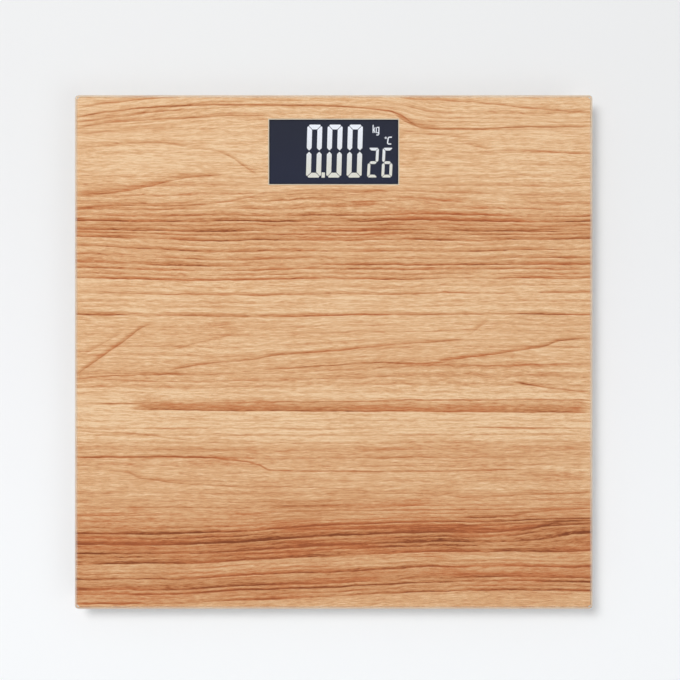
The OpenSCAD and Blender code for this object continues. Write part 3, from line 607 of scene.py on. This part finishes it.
def platform_glass():
    """Clear tempered glass with a green cast, ground along its edges. Lamps shine through it."""
    g = Graph("platform_glass")
    x, y, z = g.position()
    edge_x = abs(x) - GLASS_HALF_W + GROUND_EDGE
    edge_y = abs(y) - GLASS_HALF_D + GROUND_EDGE
    edge = g.ramp(g.math("MAXIMUM", edge_x, edge_y), -0.1, 0.1)
    grind = g.noise(x * 3, y * 3, z * 3, detail=3.0)
    body = g.principled(
        Base_Color=(0.975, 0.985, 0.975, 1),
        Roughness=g.noise(x * 0.02, y * 0.02, 0.5) * 0.01,
        IOR=1.5,
        Transmission_Weight=1.0,
    )
    ground = g.principled(
        Base_Color=g.mix(grind, srgb(196, 190, 176), srgb(222, 216, 202)),
        Roughness=0.45,
        IOR=1.5,
        Normal=g.bump(grind, 0.03, 0.6),
    )
    surface = g.add("ShaderNodeMixShader")
    g.put(edge * 0.55, surface.inputs[0])
    g.put(body, surface.inputs[1])
    g.put(ground, surface.inputs[2])
    lamps = g.add("ShaderNodeBsdfTransparent")
    lamps.inputs[0].default_value = (0.95, 0.96, 0.95, 1)
    rays = g.add("ShaderNodeLightPath")
    soft_rays = g.math("MAXIMUM", rays.outputs["Is Shadow Ray"], rays.outputs["Is Diffuse Ray"])
    choice = g.add("ShaderNodeMixShader")
    g.put(soft_rays, choice.inputs[0])
    g.put(surface.outputs[0], choice.inputs[1])
    g.put(lamps.outputs[0], choice.inputs[2])
    return g.finish(choice.outputs[0])


def moulded(name, colour, roughness=0.5, texture=1.6, depth=0.04):
    """Injection-moulded plastic with a fine eroded texture and slight variation in tone."""
    g = Graph(name)
    x, y, z = g.position()
    cloud = g.noise(x * 0.03, y * 0.03, z * 0.03, detail=2.0)
    erosion = g.noise(x * texture, y * texture, z * texture, detail=2.0)
    darker = tuple(c * 0.9 for c in colour[:3]) + (1.0,)
    shader = g.principled(
        Base_Color=g.mix(cloud, darker, colour),
        Roughness=roughness + (erosion - 0.5) * 0.16,
        Normal=g.bump(erosion, depth, 0.5),
    )
    return g.finish(shader)


def rubber(name, colour, grain, roughness=0.8):
    """Matt rubber or foam with a fine granular surface of about grain grains a millimetre."""
    g = Graph(name)
    x, y, z = g.position()
    grains = g.cells(x * grain, y * grain, z * grain)
    dust = g.noise(x * 0.2, y * 0.2, z * 0.2, detail=4.0)
    paler = tuple(min(1.0, c * 1.5 + 0.02) for c in colour[:3]) + (1.0,)
    shader = g.principled(
        Base_Color=g.mix(g.ramp(dust, 0.45, 0.75) * 0.6, colour, paler),
        Roughness=roughness + (grains - 0.5) * 0.2,
        Normal=g.bump(grains, RUBBER_RELIEF, 0.5),
    )
    return g.finish(shader)


def metal(name, colour, roughness, along="x", lines=6.0):
    """Plated or brushed metal, with fine lines along one axis and slight tarnish."""
    g = Graph(name)
    x, y, z = g.position()
    along_line = 0.15
    sx, sy, sz = [along_line if axis == along else lines for axis in "xyz"]
    brush = g.noise(x * sx, y * sy, z * sz, detail=3.0)
    tarnish = g.noise(x * 0.3, y * 0.3, z * 0.3, detail=3.0)
    dull = tuple(c * 0.72 for c in colour[:3]) + (1.0,)
    shader = g.principled(
        Base_Color=g.mix(g.ramp(tarnish, 0.4, 0.75), colour, dull),
        Metallic=1.0,
        Roughness=roughness + (brush - 0.5) * 0.25,
        Normal=g.bump(brush, 0.02, 0.35),
    )
    return g.finish(shader)


def circuit_board():
    """Green solder mask over copper tracks that bend and end here and there."""
    g = Graph("board_laminate")
    x, y, z = g.position()
    pitch_x, pitch_y = 2.54, 1.9
    bend = g.noise(x * 0.08, y * 0.08, 2.0, detail=0.0) - 0.5
    across = g.math("FRACT", (x + bend * 30) / pitch_x)
    along = g.math("FRACT", (y - bend * 22) / pitch_y)
    track = g.bell(across, 0.5, 0.2) * g.ramp(bend, -0.02, 0.04)
    track = g.math("MAXIMUM", track, g.bell(along, 0.5, 0.18) * g.ramp(bend, -0.04, -0.1))
    mask = g.mix(track, srgb(12, 72, 42), srgb(38, 112, 66))
    weave = g.noise(x * 1.5, y * 1.5, z * 1.5, detail=1.0)
    shader = g.principled(
        Base_Color=mask,
        Roughness=0.28 + (weave - 0.5) * 0.1,
        Normal=g.bump(track, 0.035, 0.6),
    )
    return g.finish(shader)


def battery_jacket():
    """A plain printed sleeve: dark body, a copper band at one end and bare metal caps."""
    g = Graph("battery_jacket")
    x, y, z = g.position()
    # places along a cell: its printed band's start, and where each bare end starts
    band_start, plus_end, minus_end = 9.5, 23.1, -19.2
    seam_z = 13.5
    # the front cell points right and the rear one left
    rear = g.math("GREATER_THAN", y, BAY_Y)
    toward = x * (1 - rear * 2)
    band = g.ramp(toward, band_start, band_start + 0.3)
    seam = g.bell(z, seam_z, 0.12)
    sleeve = g.mix(band, srgb(28, 44, 66), srgb(196, 122, 64))
    sleeve = g.mix(seam * 0.5, sleeve, grey(30))
    plus = g.ramp(toward, plus_end, plus_end + 0.1)
    minus = g.ramp(toward, minus_end, minus_end - 0.1)
    ends = g.math("MAXIMUM", plus, minus)
    worn = g.noise(x * 0.5, y * 0.5, z * 0.5, detail=3.0)
    shader = g.principled(
        Base_Color=g.mix(ends, sleeve, srgb(190, 188, 182)),
        Metallic=0.6,
        Roughness=0.24 + (worn - 0.5) * 0.16,
        Normal=g.bump(worn, 0.02, 0.2),
    )
    return g.finish(shader)


def rating_label():
    """A silver label with a printed frame and empty fields, and no lettering."""
    g = Graph("label_film")
    x, y, z = g.position()
    frame_half_w, frame_half_d = 29.5, 14.5
    rules_half_w, rules_half_d = 27, 12
    row_pitch, column_x = 5.2, -6
    u = abs(x)
    v = abs(y - LABEL_Y)
    outline = g.bell(g.math("MAXIMUM", u - frame_half_w, v - frame_half_d), 0, 0.25)
    row = g.math("FRACT", (y - LABEL_Y) / row_pitch)
    inside_d = g.ramp(v, rules_half_d, rules_half_d - 0.2)
    rule = g.bell(row, 0.5, 0.05) * g.ramp(u, rules_half_w, rules_half_w - 0.2) * inside_d
    column = g.bell(x, column_x, 0.22) * inside_d
    ink = g.math("MAXIMUM", outline, g.math("MAXIMUM", rule, column))
    grain = g.noise(x * 0.2, y * 6, z, detail=2.0)
    paper = g.mix(grain, srgb(196, 198, 200), srgb(214, 216, 218))
    shader = g.principled(
        Base_Color=g.mix(ink, paper, grey(60)),
        Metallic=0.35,
        Roughness=0.38 + (grain - 0.5) * 0.1,
        Normal=g.bump(ink + grain * 0.3, 0.01, 0.3),
    )
    return g.finish(shader)


def display_panel():
    """The display's dark face, a little bluer towards its lower edge and darker at its rim."""
    g = Graph("polarizer")
    x, y, z = g.position()
    fall = g.ramp(y, WINDOW_Y + WINDOW_HALF_D, WINDOW_Y - WINDOW_HALF_D)
    film = g.noise(x * 0.12, y * 0.12, z, detail=3.0)
    colour = g.mix(fall, (0.025, 0.027, 0.047, 1), (0.024, 0.027, 0.053, 1))
    rim = g.math("MAXIMUM", abs(x) - WINDOW_HALF_W, abs(y - WINDOW_Y) - WINDOW_HALF_D)
    colour = g.mix(g.ramp(rim, -0.9, -0.2) * 0.6, colour, (0.006, 0.006, 0.012, 1))
    shader = g.principled(
        Base_Color=colour,
        Roughness=0.35 + (film - 0.5) * 0.1,
        Specular_IOR_Level=0.1,
    )
    return g.finish(shader)


def lit_segment():
    """Backlit segments, bluish at the top of the display and warmer at the bottom."""
    g = Graph("lit_segment")
    x, y, _ = g.position()
    reach = 14
    rise = g.ramp(y, WINDOW_Y - reach, WINDOW_Y + reach)
    uneven = g.noise(x * 0.25, y * 0.25, 1.0, detail=2.0) - 0.5
    glow = g.colours(
        (rise + uneven * 0.25).clamp(),
        [(0.0, srgb(224, 222, 212)), (0.5, srgb(228, 230, 234)), (1.0, srgb(240, 243, 254))],
    )
    shader = g.principled(
        Base_Color=(0.02, 0.02, 0.02, 1),
        Roughness=0.5,
        Emission_Color=glow,
        Emission_Strength=1.02,
    )
    return g.finish(shader)


def clear_sheet(name, tint, roughness=0.05):
    """A clear moulded or glass sheet inside the display."""
    g = Graph(name)
    x, y, z = g.position()
    dots = g.cells(x * 0.9, y * 0.9, z)
    shader = g.principled(
        Base_Color=tint,
        Roughness=roughness + g.ramp(dots, 0.3, 0.1) * 0.3,
        IOR=1.5,
        Transmission_Weight=0.8,
    )
    return g.finish(shader)


def zebra_strip():
    """Silicone with thin dark conducting layers across it."""
    g = Graph("zebra_rubber")
    x, y, z = g.position()
    layer_pitch = 0.36
    layer = g.ramp(abs(g.math("FRACT", x / layer_pitch) - 0.5), 0.2, 0.3)
    grain = g.noise(x * 2, y * 2, z * 2)
    shader = g.principled(
        Base_Color=g.mix(layer, srgb(228, 188, 190), grey(28)),
        Roughness=0.6 + (grain - 0.5) * 0.2,
    )
    return g.finish(shader)


def wire_insulation():
    """PVC insulation in a different colour for each wire of a lead."""
    g = Graph("wire_insulation")
    x, y, z = g.position()
    wires = g.add("ShaderNodeNewGeometry").outputs["Random Per Island"]
    ramp = g.colours(wires, [(0.0, srgb(176, 24, 22)), (0.5, grey(22)), (1.0, srgb(228, 226, 220))])
    scuff = g.noise(x, y, z, detail=2.0)
    shader = g.principled(Base_Color=ramp, Roughness=0.35 + (scuff - 0.5) * 0.2)
    return g.finish(shader)


MATERIALS = {
    "platform_glass": platform_glass(),
    "wood_print": wood_grain(),
    "foam_tape": rubber("foam_tape", grey(222), grain=4),
    "foam_pad": rubber("foam_pad", grey(60), grain=4),
    "tray_plastic": moulded("tray_plastic", srgb(236, 236, 233)),
    "label_film": rating_label(),
    "battery_jacket": battery_jacket(),
    "spring_wire": metal("spring_wire", (0.72, 0.72, 0.73, 1), 0.22),
    "contact_metal": metal("contact_metal", (0.74, 0.71, 0.64, 1), 0.25, along="z"),
    "button_plastic": moulded("button_plastic", srgb(120, 122, 124), texture=2.5),
    "plunger_plastic": moulded("plunger_plastic", grey(28), texture=3),
    "switch_can": metal("switch_can", (0.62, 0.62, 0.62, 1), 0.35),
    "board_laminate": circuit_board(),
    "chip_resin": rubber("chip_resin", grey(26), grain=1.2, roughness=0.35),
    "capacitor_sleeve": moulded("capacitor_sleeve", srgb(30, 44, 78), 0.3, texture=2),
    "crystal_can": metal("crystal_can", (0.70, 0.70, 0.70, 1), 0.3, along="z"),
    "thermistor_bead": moulded("thermistor_bead", srgb(120, 66, 36), 0.3, texture=2),
    "screw_steel": metal("screw_steel", (0.60, 0.60, 0.60, 1), 0.32, along="z", lines=9),
    "display_glass": clear_sheet("display_glass", (0.55, 0.6, 0.68, 1)),
    "polarizer": display_panel(),
    "holder_plastic": moulded("holder_plastic", grey(228)),
    "gasket_foam": rubber("gasket_foam", grey(24), grain=4),
    "zebra_rubber": zebra_strip(),
    "guide_acrylic": clear_sheet("guide_acrylic", (0.9, 0.93, 0.97, 1), 0.1),
    "optical_film": moulded("optical_film", grey(240), 0.6, texture=4, depth=0.01),
    "led_package": moulded("led_package", srgb(240, 226, 150), 0.3, texture=3),
    "wire_insulation": wire_insulation(),
    "cell_steel": metal("cell_steel", (0.64, 0.64, 0.63, 1), 0.34),
    "gauge_resin": moulded("gauge_resin", srgb(236, 234, 226), 0.35, texture=0.8, depth=0.2),
    "retainer_plastic": moulded("retainer_plastic", grey(230)),
    "foot_plastic": moulded("foot_plastic", grey(230)),
    "foot_rubber": rubber("foot_rubber", grey(40), grain=2),
}

for row in frame["record"]["subparts"]:
    skin = nodes[row["node"]]
    skin.data.materials.clear()
    skin.data.materials.append(MATERIALS[row["material_slot"]])

# ---- The lit segments of the display ----

SEGMENT_T = 0.05
SEGMENT_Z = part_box("front_polarizer")[1].z / MM + 0.02


def mirrored(outline, flip_x, flip_y):
    """An outline turned over left-right or top-bottom, with its winding kept."""
    turned = [(-x if flip_x else x, -y if flip_y else y) for x, y in outline]
    return turned[::-1] if flip_x != flip_y else turned


def digit_outlines(half_w, half_h, stroke, corner, gap, waist, taper):
    """The seven segments of a digit as outlines about its centre, by their usual letters.

    The sides start at the height waist, with a point that is taper high. gap is between segments.
    """
    w, h, s, c = half_w, half_h, stroke, corner
    top = [
        (-w + c, h),
        (-w + c / 2 + gap, h - c / 2),
        (-w + s + gap, h - s),
        (w - s - gap, h - s),
        (w - c / 2 - gap, h - c / 2),
        (w - c, h),
    ]
    side = [
        (w - c / 2, h - c / 2 - gap),
        (w - s, h - s - gap),
        (w - s, waist + taper),
        (w - s / 2, waist),
        (w, waist + taper),
        (w, h - c),
    ]
    bar_w = w - s / 2 - gap
    bar = [
        (-bar_w, 0),
        (-bar_w + s / 2, -s / 2),
        (bar_w - s / 2, -s / 2),
        (bar_w, 0),
        (bar_w - s / 2, s / 2),
        (-bar_w + s / 2, s / 2),
    ]
    return {
        "a": top,
        "b": side,
        "c": mirrored(side, False, True),
        "d": mirrored(top, False, True),
        "e": mirrored(side, True, True),
        "f": mirrored(side, True, False),
        "g": bar,
    }


def stroke_outline(points, width):
    """The left and the right side of a line of even width through points."""
    left, right = [], []
    for i, point in enumerate(points):
        before = points[max(i - 1, 0)]
        after = points[min(i + 1, len(points) - 1)]
        along = Vector((after[0] - before[0], after[1] - before[1])).normalized()
        side = Vector((-along.y, along.x)) * width / 2
        left.append((point[0] + side.x, point[1] + side.y))
        right.append((point[0] - side.x, point[1] - side.y))
    return left, right


def add_outline(mesh, outline, place, slant):
    """Adds a thin plate to the mesh. place is its origin's (x, y) from the window's centre."""
    low, high = [], []
    for x, y in outline:
        px = (place[0] + x + y * slant) * MM
        py = (WINDOW_Y + place[1] + y) * MM
        low.append(mesh.verts.new((px, py, SEGMENT_Z * MM)))
        high.append(mesh.verts.new((px, py, (SEGMENT_Z + SEGMENT_T) * MM)))
    mesh.faces.new(high)
    mesh.faces.new(low[::-1])
    for i in range(len(low)):
        j = (i + 1) % len(low)
        mesh.faces.new((low[i], low[j], high[j], high[i]))


def add_stroke(mesh, points, width, place, slant):
    """Adds a thin plate along a line, one quad for each stretch of it."""
    left, right = stroke_outline(points, width)
    for i in range(len(points) - 1):
        quad = [right[i], right[i + 1], left[i + 1], left[i]]
        add_outline(mesh, quad, place, slant)


def segment_piece(name, draw):
    """Makes a piece of lit segments that rides with the base. draw adds its plates to a mesh."""
    mesh = bmesh.new()
    draw(mesh)
    bmesh.ops.recalc_face_normals(mesh, faces=mesh.faces)
    data = bpy.data.meshes.new(name)
    mesh.to_mesh(data)
    mesh.free()
    piece = bpy.data.objects.new(name, data)
    scene.collection.objects.link(piece)
    data.materials.append(SEGMENT_MATERIAL)
    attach(piece, "base")


SEGMENT_MATERIAL = lit_segment()
BIG = digit_outlines(4.05, 14.35, 2.6, 1.3, 0.22, 0.35, 1.3)
SMALL = digit_outlines(2.85, 8.05, 1.5, 0.75, 0.18, 0.25, 0.8)
BIG_SLANT = 0.028
SMALL_SLANT = 0.05
UNIT_SLANT = 0.02

# The lit segments of each numeral, and the places of everything that is lit
ZERO = "abcdef"
TWO = "abged"
SIX = "afgedc"
READING = [(-10.6, ZERO), (0.4, ZERO), (11.4, ZERO)]
READING_Y = 0.45
POINT_PLACE = (-5.7, -12.55)
POINT_HALF_W, POINT_HALF_H = 0.9, 1.4
TEMPERATURE = [(21.3, TWO), (29.05, SIX)]
TEMPERATURE_Y = -5.8
K_PLACE = (21.3, 10.3)
G_PLACE = (23.05, 10.3)
C_PLACE = (28.95, 4.1)
DEGREE_PLACE = (28.2, 7.65)
DEGREE_R = 0.42
DEGREE_SIDES = 16

# k, g and C as lines: their points, width, place and slant
UNIT_STROKES = [
    ([(0, 0), (0, 4.4)], 0.5, K_PLACE, UNIT_SLANT),
    ([(0.25, 1.3), (1.1, 3.0)], 0.45, K_PLACE, UNIT_SLANT),
    ([(0.45, 1.7), (1.15, 0)], 0.45, K_PLACE, UNIT_SLANT),
    (
        [(1.25, 3.0), (0.35, 3.0), (0.0, 2.6), (0.0, 0.5), (0.35, 0.1), (1.25, 0.1)],
        0.5,
        G_PLACE,
        UNIT_SLANT,
    ),
    ([(1.4, 3.3), (1.4, -0.7), (1.1, -1.1), (0.1, -1.1)], 0.5, G_PLACE, UNIT_SLANT),
    (
        [(2.4, 3.9), (0.9, 3.9), (0.4, 3.4), (0.2, 0.7), (0.7, 0.2), (2.2, 0.2)],
        0.65,
        C_PLACE,
        SMALL_SLANT,
    ),
]


def draw_reading(mesh):
    for place_x, letters in READING:
        for letter in letters:
            add_outline(mesh, BIG[letter], (place_x, READING_Y), BIG_SLANT)


def draw_point(mesh):
    w, h = POINT_HALF_W, POINT_HALF_H
    add_outline(mesh, [(-w, -h), (w, -h), (w, h), (-w, h)], POINT_PLACE, BIG_SLANT)


def draw_temperature(mesh):
    for place_x, letters in TEMPERATURE:
        for letter in letters:
            add_outline(mesh, SMALL[letter], (place_x, TEMPERATURE_Y), SMALL_SLANT)


def draw_units(mesh):
    """kg and the degree sign with C, drawn as strokes."""
    for points, width, place, slant in UNIT_STROKES:
        add_stroke(mesh, points, width, place, slant)
    turns = [2 * math.pi * i / DEGREE_SIDES for i in range(DEGREE_SIDES + 1)]
    ring = [(DEGREE_R * math.cos(t), DEGREE_R * math.sin(t)) for t in turns]
    add_stroke(mesh, ring, 0.32, DEGREE_PLACE, 0.0)


segment_piece("reading_segments", draw_reading)
segment_piece("decimal_point", draw_point)
segment_piece("temperature_segments", draw_temperature)
segment_piece("unit_segments", draw_units)

# ---- Floor, light and camera ----

# Half the floor's width, in metres. The other lengths here are in millimetres.
FLOOR_HALF = 3.0
# The floor's painted light falloff, darker behind and paler before, runs between this far behind the scale's
# centre and this far before it.
SHADE_REACH = 190
# Within UNDER_HALF of the scale's centre the floor lets bounced light from below through, and
# this fades out over UNDER_FADE.
UNDER_HALF = GLASS_HALF_D - 9
UNDER_FADE = 4


def studio_floor():
    """Pale paper with a painted light falloff, darker behind the scale and paler before it. Views and light
    from below pass through it, so the underside can be seen.
    """
    g = Graph("studio_floor")
    x, y, _ = g.position()
    # painted light falloff: the paper is darker towards the back and paler towards the front, as if less
    # light fell behind
    pale = g.colours(
        g.ramp(y, SHADE_REACH, -SHADE_REACH),
        [(0.0, grey(234)), (0.5, srgb(240, 240, 241)), (1.0, srgb(247, 248, 249))],
    )
    paper = g.noise(x * 0.05, y * 0.05, 0.0, detail=2.0)
    matt = g.principled(Base_Color=pale, Roughness=0.8 + (paper - 0.5) * 0.05)
    seen_from_below = g.add("ShaderNodeNewGeometry").outputs["Backfacing"]
    from_centre = g.math("MAXIMUM", abs(x), abs(y))
    under_scale = g.ramp(from_centre, UNDER_HALF + UNDER_FADE, UNDER_HALF)
    bounced = g.add("ShaderNodeLightPath").outputs["Is Diffuse Ray"]
    clear = g.math("MAXIMUM", seen_from_below, under_scale * bounced)
    surface = g.add("ShaderNodeMixShader")
    g.put(clear, surface.inputs[0])
    g.put(matt, surface.inputs[1])
    g.put(g.add("ShaderNodeBsdfTransparent").outputs[0], surface.inputs[2])
    return g.finish(surface.outputs[0])


def build_floor():
    """A wide flat floor at the scale's feet."""
    mesh = bmesh.new()
    half = FLOOR_HALF
    corners = [(-half, -half), (half, -half), (half, half), (-half, half)]
    mesh.faces.new([mesh.verts.new((x, y, 0)) for x, y in corners])
    data = bpy.data.meshes.new("studio_floor")
    mesh.to_mesh(data)
    mesh.free()
    floor = bpy.data.objects.new("studio_floor", data)
    scene.collection.objects.link(floor)
    data.materials.append(studio_floor())


def soft_light(name, place, side, watts, glare):
    """A square softbox that faces the object. Without glare, glass doesn't mirror it."""
    data = bpy.data.lights.new(name, "AREA")
    data.shape = "SQUARE"
    data.size = side
    data.energy = watts
    lamp = bpy.data.objects.new(name, data)
    lamp.location = place
    lamp.visible_glossy = glare
    lamp.visible_transmission = glare
    lamp.rotation_euler = (-Vector(place)).to_track_quat("-Z", "Y").to_euler()
    scene.collection.objects.link(lamp)


# The room starts to darken at this height of its unit sphere.
CEILING_START = 0.75


def build_world(overhead, horizon):
    """A pale room of two strengths, darker overhead so that the glass mirrors little of it."""
    world = bpy.data.worlds.new("studio")
    world.use_nodes = True
    tree = world.node_tree
    split = tree.nodes.new("ShaderNodeSeparateXYZ")
    tree.links.new(tree.nodes.new("ShaderNodeTexCoord").outputs["Generated"], split.inputs[0])
    fall = tree.nodes.new("ShaderNodeMapRange")
    fall.interpolation_type = "SMOOTHSTEP"
    tree.links.new(split.outputs["Z"], fall.inputs["Value"])
    fall.inputs["From Min"].default_value = CEILING_START
    fall.inputs["From Max"].default_value = 1.0
    fall.inputs["To Min"].default_value = horizon
    fall.inputs["To Max"].default_value = overhead
    sky = tree.nodes["Background"]
    sky.inputs["Color"].default_value = (0.96, 0.98, 1.0, 1)
    tree.links.new(fall.outputs["Result"], sky.inputs["Strength"])
    scene.world = world


# The camera looks straight down. Its place is in millimetres from the platform's centre, with
# its height above the glass.
CAMERA_X, CAMERA_Y = 3.4, 6.5
CAMERA_HEIGHT = 1379
CAMERA_LENS = 135


def build_camera():
    data = bpy.data.cameras.new("camera")
    data.lens = CAMERA_LENS
    data.sensor_width = 36
    data.clip_start = 0.05
    data.clip_end = 20
    camera = bpy.data.objects.new("camera", data)
    camera.location = (CAMERA_X * MM, CAMERA_Y * MM, (GLASS_TOP + CAMERA_HEIGHT) * MM)
    scene.collection.objects.link(camera)
    scene.camera = camera


build_floor()
build_world(overhead=0.10, horizon=0.59)
soft_light("key", (-0.44, 0.46, 1.75), side=0.55, watts=18.4, glare=False)
soft_light("fill", (0.9, -0.6, 1.6), side=1.2, watts=4.7, glare=True)
build_camera()
scene.view_settings.view_transform = "Standard"
